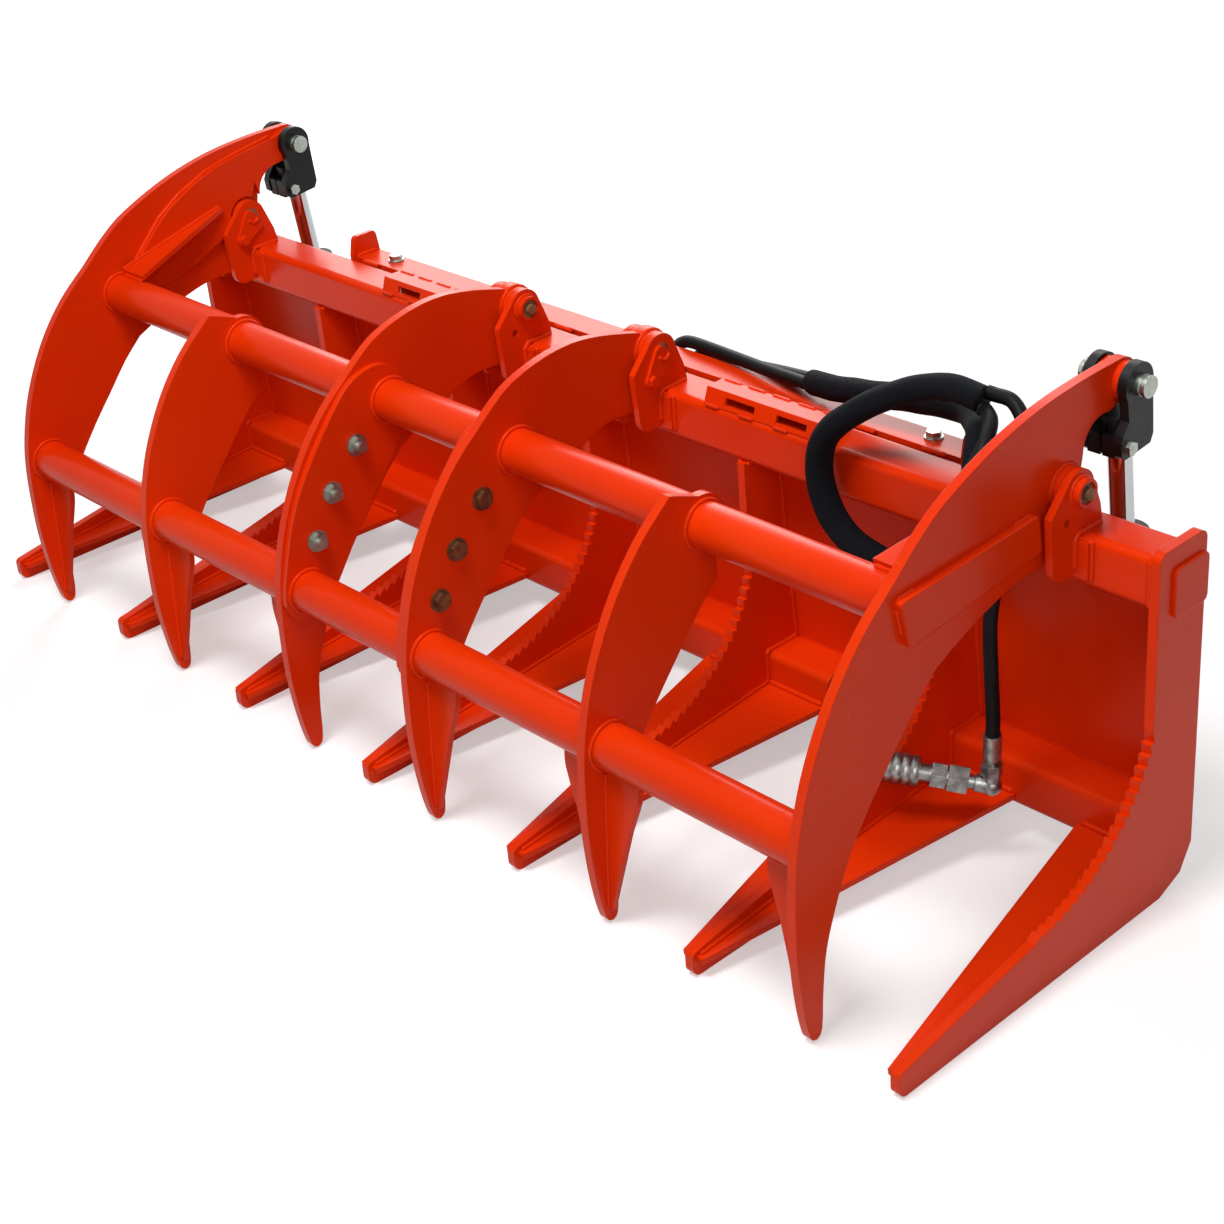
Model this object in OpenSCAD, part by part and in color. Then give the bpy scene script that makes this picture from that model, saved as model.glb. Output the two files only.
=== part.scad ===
// Root rake grapple for a skid steer: a toothed lower jaw, a hinged lid and two lift cylinders.
// The back of the lower frame is Y = 0, the tines reach towards -Y and the part stands on Z = 0.

/* [Frame] */
// Overall width over the end plates
width = 1829; // [1700:1:1950]
// Thickness of every tine and end plate
plate_t = 12.7; // [10:0.1:16]
// Reach of the lower tines in front of the frame's back
tip_reach = 520; // [505:1:545]
// Side of the square top tube and of the cross beam
tube_side = 64; // [56:1:70]
// Wall of the square tubes
tube_wall = 6; // [4:0.5:8]
// Outer corner radius of the square tubes
tube_corner = 10; // [7:0.5:12]
// Height of the top tube's upper face
tube_top = 452; // [440:1:470]
// Distance from the frame's back to the rear face of the top tube
tube_back = 19; // [14:1:22]
// Height of the cross beam's underside
beam_z = 42; // [36:1:50]
// Thickness of the back sheet
sheet_t = 6; // [4:0.5:8]

/* [Lower tines] */
// Spacing from the middle tine to its neighbours
lower_pitch_1 = 294; // [280:1:305]
// Spacing from those neighbours to the next tines
lower_pitch_2 = 310; // [295:1:320]
// Depth of each upright from front to back
upright_depth = 86; // [80:1:96]
// Radius of the toothed throat
throat_r = 226; // [215:1:235]
// Number of teeth along the throat
teeth = 20; // [14:1:24]
// Depth of each tooth
tooth_depth = 7; // [4:0.5:9]
// Height of the nose at the tine's tip
nose_h = 34; // [28:1:40]
// Height of the end plates above the tube's upper face
end_plate_rise = 8; // [4:1:12]
// Width of a sole plate at the cross beam
sole_w = 100; // [80:1:108]
// Thickness of the sole plates
sole_t = 8; // [6:0.5:10]

/* [Lid] */
// Reach of the lid in front of the frame's back
lid_reach = 534; // [520:1:545]
// Height of the lid's crown
lid_rise = 556; // [545:1:566]
// Spacing of the two middle upper tines
upper_centre = 264; // [250:1:280]
// Spacing of the other upper tines
upper_pitch = 324; // [310:1:328]
// Outer diameter of the two cross pipes
pipe_d = 57; // [50:1:60]
// Wall of the cross pipes
pipe_wall = 5; // [3:0.5:7]
// Leg of the weld collars round the pipes
collar = 3; // [2:0.5:4]
// Thickness of the plates bolted to the two middle tines
joint_plate_t = 9.5; // [8:0.5:12]
// Thickness of the doublers on the two rear arms
doubler_t = 9.5; // [8:0.5:12]
// Width of a tip gusset where it meets the lower pipe
gusset_w = 56; // [45:1:62]
// Thickness of gussets and braces
gusset_t = 8; // [6:0.5:10]

/* [Pivots] */
// Height of the lid pivot
pivot_z = 503; // [498:1:508]
// Distance of the lid pivot in front of the frame's back
pivot_y = 82; // [78:1:88]
// Diameter of the pivot pins
pin_d = 25.4; // [22:0.1:28]
// Diameter of the hubs in the lid tines
hub_d = 50; // [46:1:54]
// Length of a hub beyond each face of its tine
hub_boss = 10; // [8:0.5:12]
// Running clearance on radius of every pin
pin_clear = 0.05; // [0.03:0.01:0.09]
// Side clearance between a hub and its ears
side_clear = 0.5; // [0.4:0.1:1]
// Thickness of the pivot ears
ear_t = 10; // [8:0.5:12]

/* [Cylinders] */
// Height of the rod pin with the lid closed
lug_z = 593; // [588:1:598]
// Distance of the rod pin behind the frame's back
lug_y = 18; // [12:1:22]
// Height of the cylinder's base pin
base_z = 140; // [130:1:150]
// Distance of the base pin behind the frame's back
base_y = 62; // [58:1:68]
// Diameter of the rod
rod_d = 28; // [25:1:32]
// Outer diameter of the barrel
barrel_d = 60; // [56:1:62]
// Wall of the barrel
barrel_wall = 6; // [5:0.5:8]
// Stroke used between the closed and the open lid
stroke = 100; // [94:1:106]
// Clearance on radius between the base pin and the barrel's eye
base_play = 7.5; // [6.5:0.5:9]

/* [Hitch] */
// Width over the hitch plate's side ears
hitch_w = 1194; // [1170:1:1210]
// Thickness of the hitch plate
hitch_t = 8; // [6:0.5:10]
// Height of the hitch plate's lower edge
hitch_z = 34; // [30:1:40]

/* [Hoses] */
// Outer diameter of a hose
hose_d = 17; // [13:0.5:20]
// Outer diameter of the woven sleeve round both hoses
sleeve_d = 38; // [36:1:39]

/* [Hidden] */

$fn = 48;
paint = "orangered";
eps = 0.01;
end_x = width / 2 - plate_t / 2;
lower_x = [-lower_pitch_1 - lower_pitch_2, -lower_pitch_1, 0, lower_pitch_1, lower_pitch_1 + lower_pitch_2];
all_lower_x = concat([-end_x], lower_x, [end_x]);
upper_x = [for (i = [-2.5:2.5]) sign(i) * (upper_centre / 2 + (abs(i) - 0.5) * upper_pitch)];
outer_x = upper_x[5];
pivots_x = [upper_x[0], upper_x[2], upper_x[3], upper_x[5]];
half_t = plate_t / 2;

pivot = [-pivot_y, pivot_z];
lug = [lug_y, lug_z];
base = [base_y, base_z];
upper_pipe_at = lid_point(0.59, 0.808);
lower_pipe_at = lid_point(0.91, 0.428);
tube_front = -tube_back - tube_side;
tube_under = tube_top - tube_side;
beam_top = beam_z + tube_side;

throat = [-upright_depth - 217, 302];
throat_start = acos(217 / throat_r);
throat_end = 88;

// A point of the lid, as shares of its reach and its rise
function lid_point(u, v) = [-lid_reach * u, lid_rise * v];

// A smooth curve through points, each stretch in n steps
function knot(p, i) = p[max(0, min(len(p) - 1, i))];
function blend(a, b, c, d, t) =
  0.5 * (2 * b + (c - a) * t + (2 * a - 5 * b + 4 * c - d) * t * t + (3 * b - a - 3 * c + d) * t * t * t);
function curve(p, n = 5) = concat(
  [for (i = [0:len(p) - 2], s = [0:n - 1]) blend(knot(p, i - 1), p[i], p[i + 1], knot(p, i + 2), s / n)],
  [p[len(p) - 1]]);
function arc(c, r, a0, a1, n) = [for (i = [0:n]) let (a = a0 + (a1 - a0) * i / n) c + r * [cos(a), sin(a)]];

// Stands an outline drawn in Y and Z upright, t thick about the plane X = x
module upright_plate(x, t) {
  translate([x - t / 2, 0, 0])
    rotate([90, 0, 90])
      linear_extrude(t) children();
}

// A bar along X from x0 to x1, drawn in Y and Z
module along_x(x0, x1) {
  translate([x0, 0, 0])
    rotate([90, 0, 90])
      linear_extrude(x1 - x0) children();
}

// A round pin along X, centred at x and lying at the point p
module pin_x(p, d, x0, x1) {
  translate([x0, p[0], p[1]])
    rotate([0, 90, 0])
      cylinder(d = d, h = x1 - x0, $fn = 64);
}

module rounded_square(side, r) {
  union() {
    translate([r, 0]) square([side - 2 * r, side]);
    translate([0, r]) square([side, side - 2 * r]);
    for (y = [r, side - r], z = [r, side - r]) translate([y, z]) circle(r, $fn = 32);
  }
}

module square_tube(y, z) {
  translate([y, z]) difference() {
    rounded_square(tube_side, tube_corner);
    translate([tube_wall, tube_wall]) rounded_square(tube_side - 2 * tube_wall, tube_corner - tube_wall);
  }
}

// Lower frame

module top_tube() {
  color(paint) along_x(-end_x + half_t, end_x - half_t) square_tube(tube_front, tube_under);
}

// The beam, the back sheet and the sole plates fill the bays between the tines
module bays(gap = 0) {
  for (i = [0:len(all_lower_x) - 2])
    along_x(all_lower_x[i] + half_t + gap, all_lower_x[i + 1] - half_t - gap) children();
}

module cross_beam() {
  color(paint) bays() square_tube(-tube_side, beam_z);
}

module back_sheet() {
  color(paint) bays()
    polygon([
      [-sheet_t, beam_top], [0, beam_top], [-tube_back, tube_under], [-tube_back - sheet_t, tube_under]]);
}

function tooth_line() = [
  for (i = [0:teeth - 1])
    let (a = throat_start + (throat_end - throat_start) * i / teeth,
         b = throat_start + (throat_end - throat_start) * (i + 0.8) / teeth)
      each [throat + throat_r * [cos(a), -sin(a)], throat + (throat_r + tooth_depth) * [cos(b), -sin(b)]]
];

// The nose and the lower back corner are the same on every lower tine
function tine_foot() = concat(
  [[0, 50], [-20, 16], [-60, 0]],
  arc([-tip_reach + 14, 12], 12, 270, 180, 6),
  arc([-tip_reach + 10, nose_h - 8], 8, 165, 100, 4));

module lower_outline(top) {
  polygon(concat(
    tine_foot(),
    [for (i = [2 * teeth - 1:-1:0]) tooth_line()[i]],
    [[-upright_depth, throat[1]], [-upright_depth, top], [0, top]]));
}

module lower_tine(i) {
  color(paint) upright_plate(lower_x[i], plate_t) lower_outline(tube_under);
}

module end_plate(x) {
  top = tube_top + end_plate_rise;
  corner = 12;
  color(paint) upright_plate(x, plate_t) difference() {
    lower_outline(top);
    translate([-corner, top - corner]) difference() {
      square(corner + eps);
      circle(corner);
    }
    translate([-upright_depth + corner, top - corner]) difference() {
      translate([-corner - eps, 0]) square(corner + eps);
      circle(corner);
    }
  }
}

// A sole plate meets the beam's front and runs down to the nose, tapering in a straight line
sole_rise = 10;
sole_tip_w = 9;
sole_tip_z = 19;
sole_tip_gap = 9;

module sole_plate(x, side) {
  drop = beam_z + sole_rise - sole_tip_z;
  reach = tip_reach - sole_tip_gap - tube_side;
  slope = atan(drop / reach);
  run = reach / cos(slope);
  translate([x, -tube_side, beam_z + sole_rise])
    rotate([slope, 0, 0])
      mirror([side > 0 ? 0 : 1, 0, 0])
        linear_extrude(sole_t) polygon([[0, 0], [sole_w, 0], [sole_tip_w, -run], [0, -run]]);
}

module sole_plates() {
  color(paint) for (i = [0:len(all_lower_x) - 1]) {
    if (i > 0) sole_plate(all_lower_x[i] - half_t, -1);
    if (i < len(all_lower_x) - 1) sole_plate(all_lower_x[i] + half_t, 1);
  }
}

// Pivots

ear_in = half_t + hub_boss + side_clear;
ear_out = ear_in + ear_t;
keeper_t = 5;
keeper_at = pivot + [-22, -31];
keeper_hole_d = 10;
keeper_side = [1, -1, 1, -1];
collar_wall = 4;
collar_l = 11;
pad_t = 7;
pad_over = 18;
ear_front = tube_front - 48;

module ear_outline() {
  difference() {
    union() {
      translate(pivot) circle(d = hub_d);
      polygon(concat(
        [[tube_front, tube_top], [-tube_back - 21, tube_top], [-tube_back - 25, tube_top + 22]],
        [pivot + [24, 7], pivot + [-19, 16], [ear_front, pivot_z - 17], [ear_front, pivot_z - 26]],
        arc([ear_front + 22, tube_under + 33], 18, 180, 270, 6),
        [[tube_front, tube_under + 18]]));
    }
    translate(keeper_at) circle(d = keeper_hole_d, $fn = 32);
  }
}

module pivot_bracket(i) {
  x = pivots_x[i];
  far = -keeper_side[i];
  color(paint) union() {
    for (s = [-1, 1]) difference() {
      union() {
        upright_plate(x + s * (ear_in + ear_t / 2), ear_t) ear_outline();
        if (s == far) pin_x(pivot, pin_d + 2 * collar_wall, x + min(s * ear_in, s * (ear_out + collar_l)),
          x + max(s * ear_in, s * (ear_out + collar_l)));
      }
      pin_x(pivot, pin_d, x - 2 * ear_out, x + 2 * ear_out);
    }
    translate([x - ear_out - pad_over, tube_front - pad_t, tube_under + 14])
      cube([2 * (ear_out + pad_over), pad_t, tube_side - 14 - tube_corner / 2]);
  }
}

// Each pin is welded to a kite-shaped keeper at one end and stands in a collar at the other
module keeper() {
  difference() {
    hull() {
      translate(pivot + [-4, 1]) circle(10, $fn = 32);
      translate(pivot + [8, -14]) circle(8, $fn = 32);
      translate(keeper_at + [-1, -1]) circle(9, $fn = 32);
    }
    translate(keeper_at) circle(d = keeper_hole_d, $fn = 32);
  }
}

module pivot_pins() {
  stub_d = 14;
  color("dimgray") for (i = [0:3]) {
    s = keeper_side[i];
    translate([pivots_x[i], 0, 0]) mirror([s > 0 ? 1 : 0, 0, 0]) {
      pin_x(pivot, pin_d, -ear_out, ear_out + collar_l - 3);
      pin_x(pivot, stub_d, ear_out, ear_out + collar_l + 4);
    }
  }
}

module pin_keepers() {
  color(paint) for (i = [0:3]) {
    s = keeper_side[i];
    upright_plate(pivots_x[i] + s * (ear_out + keeper_t / 2), keeper_t) keeper();
    translate([pivots_x[i] + s * (ear_out + keeper_t), keeper_at[0], keeper_at[1]])
      rotate([0, s * 90, 0]) {
        cylinder(d = 16, h = 6, $fn = 6);
        translate([0, 0, -keeper_t - ear_t]) cylinder(d = keeper_hole_d, h = keeper_t + ear_t, $fn = 32);
      }
  }
}

// Lid

outer_edge = curve([
  lid_point(0.948, 0.004), lid_point(0.963, 0.016), lid_point(0.977, 0.08), lid_point(0.987, 0.17),
  lid_point(0.99, 0.27), lid_point(0.981, 0.42), lid_point(0.957, 0.53), lid_point(0.916, 0.635),
  lid_point(0.85, 0.745), lid_point(0.77, 0.835), lid_point(0.68, 0.905)]);
inner_edge = curve([
  lid_point(0.56, 0.672), lid_point(0.62, 0.62), lid_point(0.685, 0.55), lid_point(0.76, 0.468),
  lid_point(0.826, 0.383), lid_point(0.873, 0.288), lid_point(0.906, 0.2), lid_point(0.92, 0.115),
  lid_point(0.926, 0.045), lid_point(0.933, 0.012), lid_point(0.947, 0.003)]);
arm_end_r = 25;
notch = lug + [-32, -65];
notch_r = 36;

module crown_outline() {
  translate(pivot) circle(d = hub_d + 6);
  polygon(concat(
    outer_edge,
    curve([lid_point(0.68, 0.905), lid_point(0.6, 0.958), lid_point(0.5, 0.988), lid_point(0.4, 0.997),
           lid_point(0.3, 0.984), pivot + [-16, 27]]),
    [pivot, [-pivot_y - 26, 440]],
    curve([[-pivot_y - 36, 428], lid_point(0.31, 0.772), lid_point(0.4, 0.742), lid_point(0.48, 0.712),
           lid_point(0.56, 0.672)]),
    inner_edge));
}

module arm_outline() {
  translate(pivot) circle(d = hub_d + 6);
  translate(lug) circle(arm_end_r);
  polygon(concat(
    outer_edge,
    curve([lid_point(0.68, 0.905), lid_point(0.6, 0.968), lid_point(0.52, 1.014), lid_point(0.38, 1.065),
           lid_point(0.24, 1.096), lid_point(0.1, 1.109), lug + [-2, arm_end_r]]),
    [lug, lug + [4, 1 - arm_end_r]],
    arc(notch, notch_r, 75, 180, 8),
    [pivot + [25, -10], [-pivot_y - 26, 440]],
    curve([[-pivot_y - 36, 420], lid_point(0.31, 0.752), lid_point(0.4, 0.732), lid_point(0.48, 0.705),
           lid_point(0.56, 0.672)]),
    inner_edge));
}

module short_outline() {
  translate(upper_pipe_at) circle(d = pipe_d + 16);
  polygon(concat(
    outer_edge,
    [lid_point(0.665, 0.9), upper_pipe_at + [-2, 36], upper_pipe_at, upper_pipe_at + [16, -32]],
    inner_edge));
}

module upper_tine(i) {
  x = upper_x[i];
  has_hub = i != 1 && i != 4;
  has_arm = i == 0 || i == 5;
  color(paint) difference() {
    upright_plate(x, plate_t) {
      if (has_arm) arm_outline();
      else if (has_hub) crown_outline();
      else short_outline();
    }
    if (has_hub) pin_x(pivot, hub_d, x - plate_t, x + plate_t);
    if (has_arm) pin_x(lug, pin_d + 2 * pin_clear, x - plate_t, x + plate_t);
    if (i == 2 || i == 3) for (p = joint_holes) pin_x(p, joint_bolt_d, x - plate_t, x + plate_t);
  }
}

module pivot_hubs() {
  color(paint) {
    for (x = pivots_x) difference() {
      pin_x(pivot, hub_d, x - half_t - hub_boss, x + half_t + hub_boss);
      pin_x(pivot, pin_d + 2 * pin_clear, x - ear_out, x + ear_out);
    }
    for (s = [-1, 1]) difference() {
      pin_x(lug, pin_d + 18, s * outer_x + min(s * half_t, s * (half_t + doubler_t)),
        s * outer_x + max(s * half_t, s * (half_t + doubler_t)));
      pin_x(lug, pin_d + 2 * pin_clear, s * outer_x - ear_out, s * outer_x + ear_out);
    }
  }
}

// A pipe between two planes with a weld collar at each end
module pipe_run(at, x0, x1) {
  translate([x0, at[0], at[1]])
    rotate([0, 90, 0])
      rotate_extrude($fn = 64)
        polygon([
          [pipe_d / 2 - pipe_wall, 0], [pipe_d / 2 + collar, 0], [pipe_d / 2, collar],
          [pipe_d / 2, x1 - x0 - collar], [pipe_d / 2 + collar, x1 - x0],
          [pipe_d / 2 - pipe_wall, x1 - x0]]);
}

module pipe_pair(at, first) {
  color(paint) for (i = [first, first + 1]) pipe_run(at, upper_x[i] + half_t, upper_x[i + 1] - half_t);
}

module pipe_centre(at) {
  inset = half_t + joint_plate_t;
  color(paint) pipe_run(at, upper_x[2] + inset, upper_x[3] - inset);
}

// Plates at the ends of the middle pipes, bolted through the middle tines
joint_bolt_d = 14;
joint_holes = [lid_point(0.707, 0.733), lid_point(0.797, 0.643), lid_point(0.862, 0.542)];

module joint_plates() {
  joint_plate(2);
  joint_plate(3);
}

module joint_plate(i) {
  x = upper_x[i] + (i == 2 ? 1 : -1) * (half_t + joint_plate_t / 2);
  outline = concat(
    curve([lid_point(0.935, 0.35), lid_point(0.978, 0.41), lid_point(0.945, 0.545), lid_point(0.9, 0.65),
           lid_point(0.83, 0.75), lid_point(0.74, 0.85), lid_point(0.68, 0.892), lid_point(0.6, 0.9),
           lid_point(0.54, 0.85), lid_point(0.545, 0.75)]),
    curve([lid_point(0.6, 0.67), lid_point(0.69, 0.57), lid_point(0.76, 0.49), lid_point(0.83, 0.4)]));
  color(paint) difference() {
    upright_plate(x, joint_plate_t) polygon(outline);
    for (p = joint_holes) pin_x(p, joint_bolt_d, x - joint_plate_t, x + joint_plate_t);
  }
}

// The nut is on the inner side at the left joint, and the head at the right one
module joint_bolts() {
  head = 9;
  color("silver") for (i = [2, 3], p = joint_holes) {
    outer = upper_x[i] + (i == 2 ? -1 : 1) * half_t;
    inner = upper_x[i] + (i == 2 ? 1 : -1) * (half_t + joint_plate_t);
    lo = min(outer, inner);
    hi = max(outer, inner);
    union() {
      pin_x(p, joint_bolt_d, lo - head, hi + head + (i == 2 ? 7 : 0));
      translate([lo - head, p[0], p[1]]) rotate([0, 90, 0]) cylinder(d = 24, h = head, $fn = 6);
      translate([hi, p[0], p[1]]) rotate([0, 90, 0]) cylinder(d = 24, h = head, $fn = 6);
      translate([hi, p[0], p[1]]) rotate([0, 90, 0]) cylinder(d = 30, h = 2.5, $fn = 32);
    }
  }
}

// Gussets stand across the tine tips and run up to the lower pipe
gusset_top = lower_pipe_at + [-6, -pipe_d / 2 - 1];
gusset_foot = lid_point(0.948, 0.035);

module gusset_at(x, side) {
  rise = norm(gusset_top - gusset_foot);
  lean = atan2(gusset_foot[0] - gusset_top[0], gusset_top[1] - gusset_foot[1]);
  outline = concat(
    [[0, 0], [5, 0]],
    curve([
      [gusset_w - 18, 0.63 * rise], [gusset_w - 3, 0.85 * rise], [gusset_w, 0.93 * rise],
      [gusset_w, rise]], 3),
    [[collar + 1, rise], [0, rise - collar - 1]]);
  translate([x + side * half_t, gusset_foot[0] + gusset_t / 2, gusset_foot[1]])
    rotate([lean, 0, 0])
      rotate([90, 0, 0])
        mirror([side > 0 ? 0 : 1, 0, 0])
          linear_extrude(gusset_t) polygon(outline);
}

module tip_gussets() {
  color(paint) for (i = [0:5]) {
    if (i != 2 && i != 5) gusset_at(upper_x[i], 1);
    if (i != 0 && i != 3) gusset_at(upper_x[i], -1);
  }
}

module arm_doubler(s) {
  x = s * (outer_x - half_t - doubler_t / 2);
  outline = concat(
    curve([lid_point(0.53, 0.88), lid_point(0.43, 0.97), lid_point(0.36, 1.012), lid_point(0.26, 1.052),
           lid_point(0.16, 1.074), lug + [-30, 14], lug + [-14, 19]]),
    arc(lug, pin_d / 2 + 9.3, 80, -80, 8),
    arc(notch, notch_r + 2, 100, 180, 6),
    [pivot + [24, 46]],
    arc(pivot, hub_d / 2 + 4, 60, 200, 10),
    curve([lid_point(0.25, 0.86), lid_point(0.4, 0.8), lid_point(0.52, 0.79)]));
  color(paint) difference() {
    upright_plate(x, doubler_t) polygon(outline);
    pin_x(lug, pin_d + 2 * pin_clear, x - doubler_t, x + doubler_t);
  }
}

// A three-cornered brace from the top of the upper pipe to each rear arm
module arm_brace(s) {
  foot = upper_pipe_at + [6, pipe_d / 2 + 1];
  head = pivot + [-44, 20];
  run = norm(head - foot);
  lean = atan2(head[1] - foot[1], head[0] - foot[0]);
  translate([s * (outer_x - half_t - doubler_t), foot[0], foot[1]])
    rotate([lean, 0, 0])
      mirror([s > 0 ? 1 : 0, 0, 0])
        linear_extrude(gusset_t) polygon([[0, 0], [52, 0], [6, run], [0, run]]);
}

module arm_braces() {
  color(paint) for (s = [-1, 1]) arm_brace(s);
}

// The raised plate on the right-hand outer tine is bare
module blank_plate() {
  t = 6;
  corner = 8;
  outline = [
    lid_point(0.67, 0.878), lid_point(0.243, 0.881), lid_point(0.228, 0.777), lid_point(0.655, 0.773)];
  middle = (outline[0] + outline[1] + outline[2] + outline[3]) / 4;
  color(paint) upright_plate(outer_x + half_t + t / 2, t)
    hull() for (p = outline) translate(p - corner * [sign(p[0] - middle[0]), sign(p[1] - middle[1])])
      circle(corner, $fn = 24);
}

// Cylinders

rod_line = base - lug;
closed_l = norm(rod_line);
rod_tilt = atan2(rod_line[0], -rod_line[1]);
eye_r = 25;
eye_t = 12;
eye_gap = half_t + doubler_t + 1.5;
half_clevis = eye_gap + eye_t;
clevis_l = 80;
crotch = 38;
socket_r = 23;
clamp_y = 24;
clamp_z = clevis_l - 13;
clamp_d = 10;
gland_at = clevis_l + stroke + 18;
gland_l = 34;
piston_l = 30;
bore_r = barrel_d / 2 - barrel_wall;
base_eye_r = 36;
base_eye_w = 62;
plug_l = 22;
lug_plate_t = 12.7;
lug_gap = base_eye_w / 2 + 2;

// Places a cylinder part: its own Z axis runs down from the rod pin to the base pin
module on_cylinder(s) {
  translate([s * outer_x, lug[0], lug[1]])
    rotate([180 + rod_tilt, 0, 0]) children();
}

module cross_pin(d, x0, x1) {
  translate([x0, 0, 0]) rotate([0, 90, 0]) cylinder(d = d, h = x1 - x0, $fn = 64);
}

module rod(s) {
  color("lightgray") on_cylinder(s) {
    translate([0, 0, crotch + 8]) cylinder(d = rod_d, h = gland_at + gland_l - 6 - crotch, $fn = 64);
    translate([0, 0, gland_at + gland_l + 2]) cylinder(r = bore_r - 0.1, h = piston_l, $fn = 64);
  }
}

// One leg of the clevis, drawn with its own Y and Z: an eye that runs down to the clamp
module clevis_leg() {
  circle(eye_r, $fn = 64);
  polygon([
    [-eye_r + 1, 6], [eye_r - 3, 12], [eye_r - 4, crotch], [clamp_y + 8, clevis_l - 30],
    [clamp_y + 12, clevis_l - 22], [clamp_y + 12, clevis_l - 6], [clamp_y + 6, clevis_l],
    [-16, clevis_l], [-eye_r + 3, clevis_l - 10]]);
}

module clevis(s) {
  color([0.08, 0.08, 0.09]) on_cylinder(s) difference() {
    union() {
      for (k = [-1, 1]) translate([k > 0 ? eye_gap : -half_clevis, 0, 0])
        rotate([90, 0, 90]) linear_extrude(eye_t) clevis_leg();
      translate([0, 0, crotch]) cylinder(r = socket_r, h = clevis_l - crotch, $fn = 64);
      translate([-eye_gap - 1, -16, crotch]) cube([2 * eye_gap + 2, 32, 20]);
      translate([-eye_gap - 1, 8, clevis_l - 26]) cube([2 * eye_gap + 2, clamp_y - 8 + 10, 26]);
    }
    cross_pin(pin_d, -half_clevis - 1, half_clevis + 1);
    translate([0, 0, crotch + 8]) cylinder(d = rod_d, h = clevis_l, $fn = 64);
    translate([-1.5, 10, crotch + 8]) cube([3, 40, 60]);
    translate([0, clamp_y, clamp_z]) cross_pin(clamp_d, -60, 60);
  }
}

module rod_pin(s) {
  groove = 3;
  color("silver") on_cylinder(s) union() {
    cross_pin(pin_d, -half_clevis - 6, half_clevis + 6);
    cross_pin(pin_d - 3, -half_clevis - 6 - groove, half_clevis + 6 + groove);
    for (k = [-1, 1]) translate([k * (half_clevis + 6 + groove), 0, 0])
      mirror([k > 0 ? 0 : 1, 0, 0]) cross_pin(pin_d, 0, 5);
    translate([0, clamp_y, clamp_z]) cross_pin(clamp_d, -half_clevis, half_clevis);
    translate([0, clamp_y, clamp_z]) for (k = [-1, 1]) translate([k * (half_clevis + 3.5), 0, 0])
      rotate([0, 90, 0]) cylinder(d = 17, h = 7, center = true, $fn = 6);
  }
}

module barrel(s) {
  color([0.08, 0.08, 0.09]) on_cylinder(s) difference() {
    union() {
      translate([0, 0, gland_at]) cylinder(d = barrel_d + 2, h = gland_l, $fn = 64);
      translate([0, 0, gland_at]) cylinder(d = barrel_d, h = closed_l - gland_at - base_eye_r + 8, $fn = 64);
      translate([0, 0, closed_l]) translate([-base_eye_w / 2, 0, 0]) rotate([0, 90, 0])
        cylinder(r = base_eye_r, h = base_eye_w, $fn = 64);
      for (z = [gland_at + 16, closed_l - base_eye_r - 24])
        translate([0, 0, z]) rotate([-90, 0, 0]) cylinder(d = 24, h = barrel_d / 2 + 10, $fn = 32);
    }
    translate([0, 0, gland_at - 1]) cylinder(d = rod_d + 0.2, h = gland_l + 2, $fn = 64);
    translate([0, 0, gland_at + gland_l])
      cylinder(r = bore_r, h = closed_l - gland_at - gland_l - base_eye_r - plug_l + 8, $fn = 64);
    for (z = [gland_at + 16, closed_l - base_eye_r - 24])
      translate([0, barrel_d / 2 - 2, z]) rotate([-90, 0, 0]) cylinder(d = 14, h = 20, $fn = 32);
    translate([0, 0, closed_l]) cross_pin(pin_d + 2 * base_play, -base_eye_w, base_eye_w);
  }
}

// Two lugs behind the frame carry each cylinder's base pin
module cylinder_lugs() {
  color(paint) for (s = [-1, 1], k = [-1, 1]) difference() {
    upright_plate(s * outer_x + k * (lug_gap + lug_plate_t / 2), lug_plate_t) hull() {
      translate(base) circle(30, $fn = 48);
      translate([0, beam_z + 2]) square([1, tube_side - 4]);
    }
    pin_x(base, pin_d, s * outer_x - 80, s * outer_x + 80);
  }
}

module base_pins() {
  reach = lug_gap + lug_plate_t + 8;
  color("silver") for (s = [-1, 1]) pin_x(base, pin_d, s * outer_x - reach, s * outer_x + reach);
}

// Hitch

hitch_back = 42;
hitch_bolt_d = 12;
hitch_bolt_in = 74;
hitch_bolt_y = hitch_back / 2 - 6;
shelf = 44;
latch_x = 435;
latch_l = 70;
latch_w = 27;

module hitch_outline() {
  polygon([
    [0, hitch_z + 30], [hitch_t, hitch_z + 30], [hitch_t, tube_top - 34], [hitch_back - 14, tube_top - 12],
    [hitch_back - 6, tube_top - 30], [hitch_back, tube_top - 28], [hitch_back - 10, tube_top - 2],
    [-tube_back + 9, tube_top - 2], [-tube_back + 9, tube_top - 10], [0, tube_top - 10]]);
}

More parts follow.
